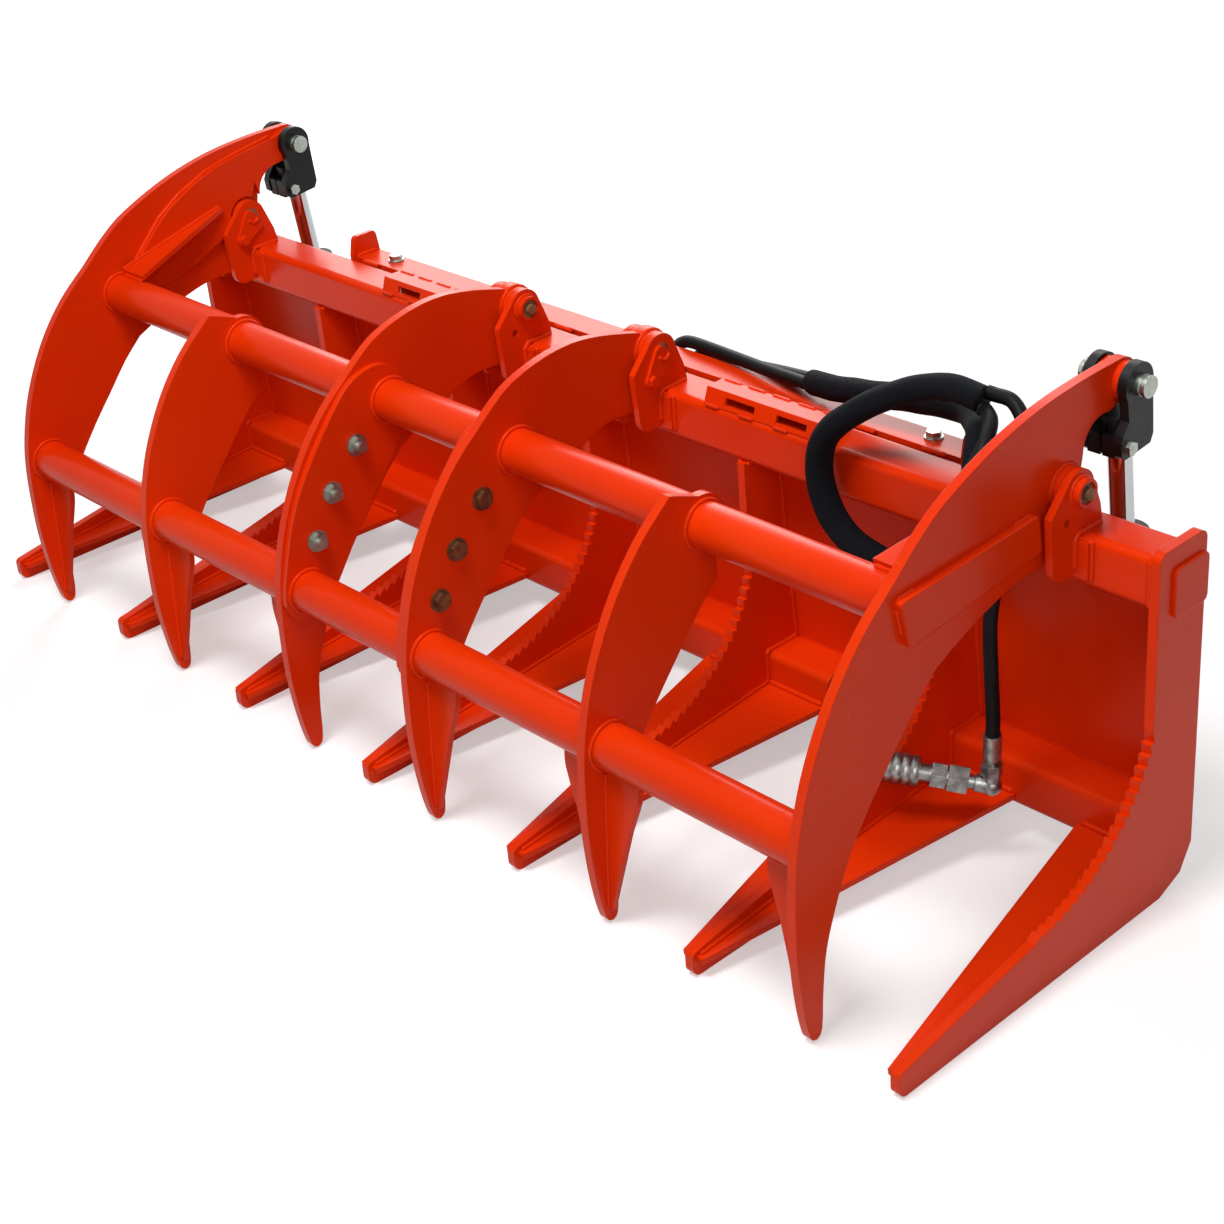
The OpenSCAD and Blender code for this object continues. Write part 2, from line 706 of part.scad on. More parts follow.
module hitch_plate() {
  inner = hitch_w / 2 - hitch_t;
  color(paint) difference() {
    union() {
      along_x(-inner, inner) hitch_outline();
      along_x(-inner, inner) polygon([
        [0, hitch_z + 30], [hitch_t, hitch_z + 30], [hitch_t, hitch_z + hitch_t],
        [hitch_t + shelf, hitch_z + hitch_t], [hitch_t + shelf, hitch_z], [0, hitch_z]]);
    }
    for (s = [-1, 1]) {
      translate([s * latch_x, hitch_t + shelf - 20, hitch_z - 1]) linear_extrude(hitch_t + 2) union() {
        for (k = [-1, 1]) translate([k * (latch_l - latch_w) / 2, 0]) circle(d = latch_w);
        square([latch_l - latch_w, latch_w], center = true);
      }
      translate([s * (hitch_w / 2 - hitch_bolt_in), hitch_bolt_y, tube_top - 40])
        cylinder(d = hitch_bolt_d, h = 60, $fn = 32);
    }
  }
}

module hitch_ears() {
  front = -tube_back + 3;
  color(paint) for (s = [-1, 1]) upright_plate(s * (hitch_w / 2 - hitch_t / 2), hitch_t) polygon([
    [0, hitch_z], [hitch_t + shelf, hitch_z], [hitch_t + shelf, hitch_z + 8],
    [hitch_back - 4, tube_top - 50], [hitch_back - 8, tube_top + 4], [hitch_back - 11, tube_top + 24],
    [hitch_back - 14, tube_top + 28],
    [hitch_back - 18, tube_top + 29], [front + 12, tube_top + 29], [front + 8, tube_top + 28],
    [front + 5, tube_top + 24], [front, tube_top], [front, tube_top - 14], [0, tube_top - 20]]);
}

module hitch_bolts() {
  color("silver") for (s = [-1, 1]) translate([s * (hitch_w / 2 - hitch_bolt_in), hitch_bolt_y, 0]) {
    translate([0, 0, tube_top - 34]) cylinder(d = hitch_bolt_d, h = 32, $fn = 32);
    translate([0, 0, tube_top - 2]) cylinder(d = 24, h = 2.5, $fn = 32);
    translate([0, 0, tube_top + 0.5]) cylinder(d = 20, h = 7, $fn = 6);
  }
}

// Two bent strips stand on the tube's front edge, with windows for the hose ties
guide_x = 332;
guide_l = 206;
guide_h = 20;
guide_t = 4;
guide_top_w = 28;
guide_window = 50;
guide_pitch = 87;

module hose_guides() {
  foot = tube_front + 3;
  lean = 8;
  color(paint) for (s = [-1, 1]) difference() {
    along_x(s * guide_x - guide_l / 2, s * guide_x + guide_l / 2) polygon([
      [foot, tube_top - 1.8], [foot + lean, tube_top + guide_h],
      [foot + lean + guide_top_w, tube_top + guide_h], [foot + lean + guide_top_w, tube_top],
      [foot + lean + guide_top_w - guide_t, tube_top],
      [foot + lean + guide_top_w - guide_t, tube_top + guide_h - guide_t],
      [foot + lean + guide_t - 1, tube_top + guide_h - guide_t], [foot + guide_t + 1.5, tube_top + 0.15]]);
    for (k = [-0.5, 0.5])
      translate([s * guide_x + k * guide_pitch - guide_window / 2, foot - 5, tube_top + 3])
        cube([guide_window, 22, guide_h - guide_t - 6]);
  }
}

sleeve_route = [
  [334, 12, 473], [380, 4, 480], [437, 0, 490], [520, -2, 504], [590, -8, 512], [638, -44, 518],
  [670, -80, 524], [688, -108, 500], [698, -120, 455], [692, -122, 405], [665, -121, 368], [615, -119, 350],
  [550, -117, 348], [492, -114, 364], [460, -111, 400], [451, -109, 446], [466, -105, 488],
  [505, -90, 522], [560, -70, 552], [612, -60, 565], [655, -56, 560]];
feed_front = [
  [30, 60, 385], [30, 60, 398], [34, 58, 416], [46, 52, 436], [64, 45, 450], [92, 40, 458], [170, 33, 460],
  [250, 20, 465], [331.5, 4, 473.7]];
feed_back = [
  [62, 66, 385], [62, 66, 398], [66, 65, 414], [80, 62, 431], [108, 57, 441], [180, 50, 446],
  [250, 40, 457], [334, 21.5, 472.5]];
left_route = [
  [656.4, -63, 553], [665, -64, 552.5], [686, -82, 550], [700, -112, 536], [694, -134, 506],
  [672, -142, 474], [640, -152, 418], [606, -180, 330], [584, -212, 266], [572, -227, 232],
  [570, -228, 204]];
right_route = [
  [655.8, -49, 567], [665, -48.5, 566.5], [692, -50, 565], [716, -62, 546], [729, -84, 508],
  [730, -106, 455], [726, -118, 395], [716, -120, 330], [717, -120, 262], [718.7, -118.5, 200],
  [718, -118.4, 174]];
block_left = -10;
block_w = 92;
block_z = 352;
block_h = 20;
elbow_right = [716, -118, 102];
elbow_left = [566, -230, 138];

function unit(v) = v / norm(v);
function heading(p, i) = unit(p[min(i + 1, len(p) - 1)] - p[max(i - 1, 0)]);
function carried(p, side, i = 0) =
  i == len(p) ? [] :
    let (d = heading(p, i), n = unit(side - (side * d) * d))
      concat([[p[i], n, cross(d, n)]], carried(p, n, i + 1));

module tube_along(points, d, sides = 10) {
  rings = carried(points, [0.2, -1, 0.3]);
  last = len(rings) - 1;
  polyhedron(
    [for (r = rings, k = [0:sides - 1])
      let (a = 360 * k / sides) r[0] + d / 2 * (cos(a) * r[1] + sin(a) * r[2])],
    concat(
      [[for (k = [0:sides - 1]) k]],
      [for (i = [0:last - 1], k = [0:sides - 1], half = [0, 1])
        let (a = i * sides, b = a + sides, next = (k + 1) % sides)
          half == 0 ? [a + k, b + k, a + next] : [a + next, b + k, b + next]],
      [[for (k = [sides - 1:-1:0]) last * sides + k]]));
}

module hose_feed() {
  color("black") {
    tube_along(curve(feed_front, 2), hose_d, 8);
    tube_along(curve(feed_back, 2), hose_d, 8);
  }
}

module hose_sleeve() {
  color("black") tube_along(sleeve_route, sleeve_d);
}

module hose_left() {
  color("black") tube_along(left_route, hose_d, 8);
}

module hose_right() {
  color("black") tube_along(right_route, hose_d, 8);
}

// The block that the hoses start from hangs behind the hitch plate, on the lip of its flange
module hose_block() {
  color("gray") union() {
    translate([block_left, hitch_back, block_z]) cube([block_w, 36, block_h]);
    along_x(block_left, block_left + 22)
      polygon([
        [hitch_back, block_z], [hitch_back, tube_top - 28], [hitch_back - 10, tube_top - 2],
        [hitch_back - 2, tube_top - 2], [hitch_back + 8, tube_top - 28], [hitch_back + 8, block_z]]);
    for (p = [feed_front[0], feed_back[0]])
      translate([p[0], p[1], block_z + block_h - 0.1])
        cylinder(d = hose_d + 4, h = p[2] - 0.4 - (block_z + block_h - 0.1));
  }
}

// Lays a part's own Z axis along the line from p to q
module from_to(p, q) {
  d = q - p;
  translate(p) rotate([0, acos(d[2] / norm(d)), atan2(d[1], d[0])]) children();
}

coupler_l = norm(elbow_left - elbow_right);
elbow_reach = 20;
neck_l = 8;
male_l = 58;

module elbow(at, along, hose_end) {
  stem = norm(hose_end - at);
  union() {
    translate(at) sphere(d = 25);
    from_to(at, along) cylinder(d = 22, h = elbow_reach);
    from_to(at, hose_end) {
      cylinder(d = 20, h = stem - 54);
      translate([0, 0, stem - 56]) cylinder(d = 26, h = 16, $fn = 6);
      translate([0, 0, stem - 41]) cylinder(d = 16, h = 12);
      translate([0, 0, stem - 32]) cylinder(d = hose_d + 5, h = 32);
    }
  }
}

module hose_elbows() {
  color("silver") {
    elbow(elbow_right, elbow_left, right_route[len(right_route) - 1]);
    elbow(elbow_left, elbow_right, left_route[len(left_route) - 1]);
  }
}

module coupler_male() {
  color("gray") from_to(elbow_right, elbow_left) union() {
    translate([0, 0, elbow_reach]) cylinder(d = 17, h = neck_l + 1);
    translate([0, 0, elbow_reach + neck_l]) cylinder(d = 36, h = 24, $fn = 6);
    translate([0, 0, elbow_reach + neck_l + 23.9]) cylinder(d = 24, h = 3);
    translate([0, 0, elbow_reach + neck_l + 26]) cylinder(d = 33, h = 18, $fn = 6);
    translate([0, 0, elbow_reach + neck_l + 43.9]) cylinder(d = 23, h = male_l - 43.9);
  }
}

module coupler_female() {
  start = elbow_reach + neck_l + male_l;
  end = coupler_l - elbow_reach;
  rib = 10;
  color("gray") from_to(elbow_right, elbow_left) union() {
    translate([0, 0, start]) cylinder(d = 34, h = 44);
    for (i = [0:3]) translate([0, 0, start + 1 + i * (rib + 0.6)]) rotate_extrude()
      polygon([[10, 0], [18, 0], [19.5, rib / 3], [19.5, rib * 2 / 3], [18, rib], [10, rib]]);
    translate([0, 0, start + 43.9]) cylinder(d = 32, h = 22, $fn = 6);
    translate([0, 0, start + 65.8]) cylinder(d = 17, h = end - start - 65.8);
  }
}

top_tube();
cross_beam();
back_sheet();
end_plate(-end_x);  // end_plate_left
end_plate(end_x);  // end_plate_right
for (i = [0:4]) lower_tine(i);
sole_plates();
for (i = [0:3]) pivot_bracket(i);
pivot_pins();
pin_keepers();
hitch_plate();
hitch_ears();
hitch_bolts();
hose_guides();
cylinder_lugs();
base_pins();
hose_block();
hose_feed();
hose_sleeve();
hose_left();
hose_right();
hose_elbows();
coupler_male();
coupler_female();
for (i = [0:5]) upper_tine(i);
pipe_pair(upper_pipe_at, 0);  // upper_pipe_left
pipe_centre(upper_pipe_at);  // upper_pipe_centre
pipe_pair(upper_pipe_at, 3);  // upper_pipe_right
pipe_pair(lower_pipe_at, 0);  // lower_pipe_left
pipe_centre(lower_pipe_at);  // lower_pipe_centre
pipe_pair(lower_pipe_at, 3);  // lower_pipe_right
tip_gussets();
arm_doubler(-1);  // arm_doubler_left
arm_doubler(1);  // arm_doubler_right
arm_braces();
joint_plates();
joint_bolts();
pivot_hubs();
blank_plate();
rod(-1);  // rod_left
rod(1);  // rod_right
clevis(-1);  // clevis_left
clevis(1);  // clevis_right
rod_pin(-1);  // rod_pin_left
rod_pin(1);  // rod_pin_right
barrel(-1);  // barrel_left
barrel(1);  // barrel_right
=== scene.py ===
import math

import bpy
from mathutils import Matrix, Vector, noise


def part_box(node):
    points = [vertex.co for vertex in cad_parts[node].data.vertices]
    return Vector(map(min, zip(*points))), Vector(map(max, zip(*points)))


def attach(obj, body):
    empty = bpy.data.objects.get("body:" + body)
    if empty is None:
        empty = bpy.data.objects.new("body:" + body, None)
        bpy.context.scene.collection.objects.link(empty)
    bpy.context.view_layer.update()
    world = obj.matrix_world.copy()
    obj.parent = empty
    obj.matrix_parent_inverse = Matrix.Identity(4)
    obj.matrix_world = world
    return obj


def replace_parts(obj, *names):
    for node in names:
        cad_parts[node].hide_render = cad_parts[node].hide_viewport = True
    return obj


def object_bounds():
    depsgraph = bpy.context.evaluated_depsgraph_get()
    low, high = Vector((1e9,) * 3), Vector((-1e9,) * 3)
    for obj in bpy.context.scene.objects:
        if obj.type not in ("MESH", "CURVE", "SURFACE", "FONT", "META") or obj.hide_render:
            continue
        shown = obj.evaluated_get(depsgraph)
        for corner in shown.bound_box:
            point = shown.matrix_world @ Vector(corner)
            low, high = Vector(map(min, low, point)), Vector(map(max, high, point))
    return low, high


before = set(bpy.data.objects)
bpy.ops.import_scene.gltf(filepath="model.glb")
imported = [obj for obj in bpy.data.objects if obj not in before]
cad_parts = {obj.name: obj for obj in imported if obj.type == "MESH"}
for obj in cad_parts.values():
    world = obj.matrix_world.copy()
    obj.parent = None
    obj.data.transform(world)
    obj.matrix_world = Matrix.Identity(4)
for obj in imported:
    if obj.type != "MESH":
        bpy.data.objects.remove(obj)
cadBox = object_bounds()
mm = 0.001
print("frame loaded:", len(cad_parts), "nodes")


def hexToLinear(code):
    def toLinear(c):
        return c / 12.92 if c <= 0.04045 else ((c + 0.055) / 1.055) ** 2.4

    return tuple(toLinear(int(code[i:i + 2], 16) / 255) for i in (1, 3, 5)) + (1.0,)


def addNode(tree, kind, values=None, links=None, **settings):
    node = tree.nodes.new(kind)
    for key, value in settings.items():
        setattr(node, key, value)
    for key, value in (values or {}).items():
        node.inputs[key].default_value = value
    for key, source in (links or {}).items():
        tree.links.new(source, node.inputs[key])
    return node


# camera, at the place the photo was taken from
camera = {
    "place": (2.0843, -1.8401, 1.5878),
    "azimuth": 49.653,
    "elevation": 29.158,
    "roll": -5.445,
    "lens": 64.96,
    "sensor": 36,
}


def makeCamera(c):
    az, el, ro = (math.radians(c[k]) for k in ("azimuth", "elevation", "roll"))
    back = Vector((math.sin(az) * math.cos(el), -math.cos(az) * math.cos(el), math.sin(el)))
    right = Vector((math.cos(az), math.sin(az), 0))
    up = back.cross(right)
    rolledRight = math.cos(ro) * right + math.sin(ro) * up
    rolledUp = -math.sin(ro) * right + math.cos(ro) * up
    data = bpy.data.cameras.new("photoCamera")
    data.lens = c["lens"]
    data.sensor_width = c["sensor"]
    data.clip_end = 100
    cam = bpy.data.objects.new("photoCamera", data)
    turn = Matrix((rolledRight, rolledUp, back)).transposed().to_4x4()
    cam.matrix_world = Matrix.Translation(Vector(c["place"])) @ turn
    bpy.context.collection.objects.link(cam)
    bpy.context.scene.camera = cam


makeCamera(camera)
print("camera set")


# materials

def newMaterial(name, values):
    material = bpy.data.materials.new(name)
    material.use_nodes = True
    tree = material.node_tree
    tree.nodes.clear()
    output = addNode(tree, "ShaderNodeOutputMaterial")
    shader = addNode(tree, "ShaderNodeBsdfPrincipled", values)
    tree.links.new(shader.outputs[0], output.inputs[0])
    place = addNode(tree, "ShaderNodeTexCoord").outputs["Object"]
    return material, tree, shader, place


# powder coat, sprayed and baked over cut plate: a thick glossy skin that rounds the edges, with orange peel
# and a little weld spatter under it
paint = {
    "body": "#DB2E03",
    "bright": "#E13605",
    "spatter": "#E0481F",
    "gloss": "#FFB48C",
    "cloudMm": 300,
    "spatterMm": 9,
    "peelMm": 3.0,
    "depthMm": 0.4,
    "bump": 0.12,
    "edgeMm": 1.6,
    "rough": (0.27, 0.36),
    "ior": 1.5,
    "specular": 0.17,
    "coat": 0.04,
    "coatRough": 0.12,
}


def powderCoat(p):
    material, tree, shader, place = newMaterial("powder coated steel", {
        "IOR": p["ior"], "Specular IOR Level": p["specular"], "Specular Tint": hexToLinear(p["gloss"]),
        "Coat Weight": p["coat"], "Coat Roughness": p["coatRough"]})
    cloud, spatter, peel = (
        addNode(tree, "ShaderNodeTexNoise", {"Scale": 1000 / p[size], "Detail": 2},
                {"Vector": place}).outputs[0] for size in ("cloudMm", "spatterMm", "peelMm"))
    tone = addNode(tree, "ShaderNodeMapRange", {"From Min": 0.35, "From Max": 0.65}, {"Value": cloud})
    dots = addNode(tree, "ShaderNodeMapRange", {"From Min": 0.70, "From Max": 0.78, "To Max": 0.5},
                   {"Value": spatter})
    clean = addNode(tree, "ShaderNodeMix", {6: hexToLinear(p["body"]), 7: hexToLinear(p["bright"])},
                    {0: tone.outputs[0]}, data_type="RGBA")
    dotted = addNode(tree, "ShaderNodeMix", {7: hexToLinear(p["spatter"])},
                     {0: dots.outputs[0], 6: clean.outputs[2]}, data_type="RGBA")
    tree.links.new(dotted.outputs[2], shader.inputs["Base Color"])
    low, high = p["rough"]
    rough = addNode(tree, "ShaderNodeMapRange",
                    {"From Min": 0.3, "From Max": 0.7, "To Min": low, "To Max": high}, {"Value": cloud})
    tree.links.new(rough.outputs[0], shader.inputs["Roughness"])
    edge = addNode(tree, "ShaderNodeBevel", {"Radius": p["edgeMm"] * mm}, samples=4)
    height = addNode(tree, "ShaderNodeMath", links={0: peel, 1: dots.outputs[0]}, operation="ADD")
    bump = addNode(tree, "ShaderNodeBump", {"Strength": p["bump"], "Distance": p["depthMm"] * mm},
                   {"Height": height.outputs[0], "Normal": edge.outputs[0]})
    tree.links.new(bump.outputs[0], shader.inputs["Normal"])
    return material


# metals with two tones in patches and a fine grain, drawn coarser than the real one so that it shows: iron
# painted a dull black, pale zinc plate with a shade of green, dry brown rust, and grey turned steel with a
# soft shine
blackIron = {"body": "#060607", "other": "#0E0F11", "grainMm": 2.5, "patchMm": 30,
             "rough": (0.3, 0.5), "metallic": 0.0, "bump": 0.3, "specular": 0.25}
zincSteel = {"body": "#A9ADA6", "other": "#949C93", "grainMm": 1.0, "patchMm": 12,
             "rough": (0.22, 0.4), "metallic": 1.0, "bump": 0.15, "specular": 0.5}
rustySteel = {"body": "#5E3A25", "other": "#8A6240", "grainMm": 1.4, "patchMm": 16.8,
              "rough": (0.55, 0.8), "metallic": 0.3, "bump": 0.5, "specular": 0.5}
machinedSteel = {"body": "#9C9D9A", "other": "#737573", "grainMm": 0.9, "patchMm": 10.8,
                 "rough": (0.24, 0.4), "metallic": 0.9, "bump": 0.15, "specular": 0.5}
metalSkin = {"edgeMm": 0.8, "depthMm": 0.3}  # soft edge and depth of the grain on all of them


def plainMetal(name, p):
    material, tree, shader, place = newMaterial(name, {
        "Metallic": p["metallic"], "Specular IOR Level": p["specular"]})
    grain = addNode(tree, "ShaderNodeTexNoise", {"Scale": 1000 / p["grainMm"], "Detail": 4},
                    {"Vector": place})
    patch = addNode(tree, "ShaderNodeTexNoise", {"Scale": 1000 / p["patchMm"], "Detail": 3},
                    {"Vector": place})
    tone = addNode(tree, "ShaderNodeMapRange", {"From Min": 0.35, "From Max": 0.65},
                   {"Value": patch.outputs[0]})
    colour = addNode(tree, "ShaderNodeMix", {6: hexToLinear(p["body"]), 7: hexToLinear(p["other"])},
                     {0: tone.outputs[0]}, data_type="RGBA")
    tree.links.new(colour.outputs[2], shader.inputs["Base Color"])
    low, high = p["rough"]
    rough = addNode(tree, "ShaderNodeMapRange",
                    {"From Min": 0.3, "From Max": 0.7, "To Min": low, "To Max": high},
                    {"Value": grain.outputs[0]})
    tree.links.new(rough.outputs[0], shader.inputs["Roughness"])
    edge = addNode(tree, "ShaderNodeBevel", {"Radius": metalSkin["edgeMm"] * mm}, samples=4)
    bump = addNode(tree, "ShaderNodeBump", {"Strength": p["bump"], "Distance": metalSkin["depthMm"] * mm},
                   {"Height": grain.outputs[0], "Normal": edge.outputs[0]})
    tree.links.new(bump.outputs[0], shader.inputs["Normal"])
    return material


# the left joint has bright zinc plated bolts and the right one duller bolts with a bronze tint
bronzedSteel = {"body": "#8A6244", "other": "#5A4230", "patchMm": 14.4, "rough": 0.45, "platedRough": 0.28,
                "metallic": 0.9}


def bronzedOrPlated(p, plated):
    material, tree, shader, place = newMaterial("bolt steel", {"Metallic": p["metallic"]})
    patch = addNode(tree, "ShaderNodeTexNoise", {"Scale": 1000 / p["patchMm"], "Detail": 3},
                    {"Vector": place})
    tone = addNode(tree, "ShaderNodeMapRange", {"From Min": 0.35, "From Max": 0.65},
                   {"Value": patch.outputs[0]})
    split = addNode(tree, "ShaderNodeSeparateXYZ", links={0: place})
    onRight = addNode(tree, "ShaderNodeMath", {1: 0.0}, {0: split.outputs["X"]}, operation="GREATER_THAN")
    left, right = (
        addNode(tree, "ShaderNodeMix", {6: hexToLinear(steel["body"]), 7: hexToLinear(steel["other"])},
                {0: tone.outputs[0]}, data_type="RGBA") for steel in (plated, p))
    both = addNode(tree, "ShaderNodeMix",
                   links={0: onRight.outputs[0], 6: left.outputs[2], 7: right.outputs[2]}, data_type="RGBA")
    tree.links.new(both.outputs[2], shader.inputs["Base Color"])
    rough = addNode(tree, "ShaderNodeMapRange", {"To Min": p["platedRough"], "To Max": p["rough"]},
                    {"Value": onRight.outputs[0]})
    tree.links.new(rough.outputs[0], shader.inputs["Roughness"])
    return material


# hard chrome, ground and polished: a mirror with faint cloudy wear
hardChrome = {"body": "#B9BBBD", "wearMm": 16.667, "rough": (0.06, 0.13)}


def chromePlate(p):
    material, tree, shader, place = newMaterial("hard chrome", {
        "Base Color": hexToLinear(p["body"]), "Metallic": 1})
    wear = addNode(tree, "ShaderNodeTexNoise", {"Scale": 1000 / p["wearMm"], "Detail": 2},
                   {"Vector": place})
    low, high = p["rough"]
    rough = addNode(tree, "ShaderNodeMapRange",
                    {"From Min": 0.3, "From Max": 0.7, "To Min": low, "To Max": high},
                    {"Value": wear.outputs[0]})
    tree.links.new(rough.outputs[0], shader.inputs["Roughness"])
    return material


# synthetic rubber, extruded and cured: nearly black, satin, with a little dust in patches
hoseRubber = {"body": "#060607", "dust": "#0D0E10", "grainMm": 1.2, "dustMm": 40, "depthMm": 0.3,
              "bump": 0.2, "rough": 0.5, "specular": 0.12}


def rubberCover(p):
    material, tree, shader, place = newMaterial("hose rubber", {
        "Roughness": p["rough"], "Specular IOR Level": p["specular"]})
    grain = addNode(tree, "ShaderNodeTexNoise", {"Scale": 1000 / p["grainMm"], "Detail": 3},
                    {"Vector": place})
    dust = addNode(tree, "ShaderNodeTexNoise", {"Scale": 1000 / p["dustMm"], "Detail": 3},
                   {"Vector": place})
    tone = addNode(tree, "ShaderNodeMapRange", {"From Min": 0.45, "From Max": 0.75},
                   {"Value": dust.outputs[0]})
    colour = addNode(tree, "ShaderNodeMix", {6: hexToLinear(p["body"]), 7: hexToLinear(p["dust"])},
                     {0: tone.outputs[0]}, data_type="RGBA")
    tree.links.new(colour.outputs[2], shader.inputs["Base Color"])
    bump = addNode(tree, "ShaderNodeBump", {"Strength": p["bump"], "Distance": p["depthMm"] * mm},
                   {"Height": grain.outputs[0]})
    tree.links.new(bump.outputs[0], shader.inputs["Normal"])
    return material


# woven nylon: dull threads along and round the sleeve, drawn twice as coarse as they are so that they show
wovenNylon = {"body": "#050608", "thread": "#10131A", "threadMm": 2.6, "depthMm": 0.6, "bump": 0.6,
              "cross": 0.45, "rough": 0.72, "specular": 0.09}


def wovenSleeve(p):
    material, tree, shader, place = newMaterial("woven nylon", {
        "Roughness": p["rough"], "Specular IOR Level": p["specular"]})
    ends = addNode(tree, "ShaderNodeUVMap").outputs[0]
    split = addNode(tree, "ShaderNodeSeparateXYZ", links={0: ends})
    turnsPerMetre = 2 * math.pi * 1000 / p["threadMm"]
    waves = []
    for across in ("X", "Y"):
        turn = addNode(tree, "ShaderNodeMath", {1: turnsPerMetre}, {0: split.outputs[across]},
                       operation="MULTIPLY")
        wave = addNode(tree, "ShaderNodeMath", links={0: turn.outputs[0]}, operation="SINE")
        waves.append(wave.outputs[0])
    weave = addNode(tree, "ShaderNodeMath", {2: p["cross"]}, {0: waves[1], 1: waves[0]},
                    operation="MULTIPLY_ADD").outputs[0]
    ribbed = addNode(tree, "ShaderNodeMath", links={0: weave, 1: waves[0]}, operation="ADD").outputs[0]
    tone = addNode(tree, "ShaderNodeMapRange", {"From Min": -1, "From Max": 2}, {"Value": ribbed})
    colour = addNode(tree, "ShaderNodeMix", {6: hexToLinear(p["body"]), 7: hexToLinear(p["thread"])},
                     {0: tone.outputs[0]}, data_type="RGBA")
    tree.links.new(colour.outputs[2], shader.inputs["Base Color"])
    bump = addNode(tree, "ShaderNodeBump", {"Strength": p["bump"], "Distance": p["depthMm"] * mm},
                   {"Height": ribbed})
    tree.links.new(bump.outputs[0], shader.inputs["Normal"])
    return material


coat = powderCoat(paint)
rubber = rubberCover(hoseRubber)
nylon = wovenSleeve(wovenNylon)

# each finish with the nodes that have it; the rest are powder coated
finishes = [
    (plainMetal("black painted iron", blackIron),
     ("clevis_left", "clevis_right", "barrel_left", "barrel_right")),
    (plainMetal("zinc plated steel", zincSteel),
     ("hitch_bolts", "base_pins", "rod_pin_left", "rod_pin_right")),
    (plainMetal("rusty steel", rustySteel), ("pivot_pins",)),
    (bronzedOrPlated(bronzedSteel, zincSteel), ("joint_bolts",)),
    (plainMetal("machined steel", machinedSteel),
     ("hose_block", "hose_elbows", "coupler_male", "coupler_female")),
    (chromePlate(hardChrome), ("rod_left", "rod_right")),
]


def dressNodes():
    chosen = {node: material for material, nodes in finishes for node in nodes}
    for name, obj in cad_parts.items():
        material = chosen.get(name, coat)
        for slot in obj.material_slots:
            slot.material = material
        if not obj.material_slots:
            obj.data.materials.append(material)


dressNodes()
print("materials made")


def addMesh(name, verts, faces, material, body, smooth=True):
    mesh = bpy.data.meshes.new(name)
    mesh.from_pydata([tuple(v) for v in verts], [], faces)
    mesh.validate()
    mesh.materials.append(material)
    for polygon in mesh.polygons:
        polygon.use_smooth = smooth
    obj = bpy.data.objects.new(name, mesh)
    bpy.context.collection.objects.link(obj)
    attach(obj, body)
    return obj


# the hoses follow the same points as the solids they stand for, in millimetres; diameters are in metres
hoses = {
    "diameter": 0.017,
    "sleeveDiameter": 0.038,
    "sides": 20,
    "sleeveSides": 32,
    "ringsPerPoint": 8,
    "flatness": 0.16,
    "flatTurn": 0.6,
    "creaseDepth": 0.05,
    "creasesPerMetre": 30,
    "creasesRound": 1.3,
    "slack": 0.985,
    "sleeve": [
        (334, 12, 473), (380, 4, 480), (437, 0, 490), (520, -2, 504), (590, -8, 512), (638, -44, 518),
        (670, -80, 524), (688, -108, 500), (698, -120, 455), (692, -122, 405), (665, -121, 368),
        (615, -119, 350), (550, -117, 348), (492, -114, 364), (460, -111, 400), (451, -109, 446),
        (466, -105, 488), (505, -90, 522), (560, -70, 552), (612, -60, 565), (655, -56, 560)],
    "feedFront": [
        (30, 60, 385), (30, 60, 398), (34, 58, 416), (46, 52, 436), (64, 45, 450), (92, 40, 458),
        (170, 33, 460), (250, 20, 465), (331.5, 4, 473.7)],
    "feedBack": [
        (62, 66, 385), (62, 66, 398), (66, 65, 414), (80, 62, 431), (108, 57, 441), (180, 50, 446),
        (250, 40, 457), (334, 21.5, 472.5)],
    "left": [
        (656.4, -63, 553), (665, -64, 552.5), (686, -82, 550), (700, -112, 536), (694, -134, 506),
        (672, -142, 474), (640, -152, 418), (606, -180, 330), (584, -212, 266), (572, -227, 232),
        (570, -228, 204)],
    "right": [
        (655.8, -49, 567), (665, -48.5, 566.5), (692, -50, 565), (716, -62, 546), (729, -84, 508),
        (730, -106, 455), (726, -118, 395), (716, -120, 330), (717, -120, 262), (718.7, -118.5, 200),
        (718, -118.4, 174)],
}


def smoothRoute(points, steps):
    pts = [Vector(p) * mm for p in points]
    out = []
    for i in range(len(pts) - 1):
        a, b, c, d = pts[max(i - 1, 0)], pts[i], pts[i + 1], pts[min(i + 2, len(pts) - 1)]
        for s in range(steps):
            t = s / steps
            out.append(0.5 * (2 * b + (c - a) * t + (2 * a - 5 * b + 4 * c - d) * t * t
                              + (3 * b - a - 3 * c + d) * t ** 3))
    return out + [pts[-1]]


def routeFrames(route):
    frames, side = [], Vector((0.2, -1, 0.3))
    for i, p in enumerate(route):
        along = (route[min(i + 1, len(route) - 1)] - route[max(i - 1, 0)]).normalized()
        side = (side - side.dot(along) * along).normalized()
        frames.append((p, along, side, along.cross(side)))
    return frames


def routeLength(route):
    return sum((b - a).length for a, b in zip(route, route[1:]))


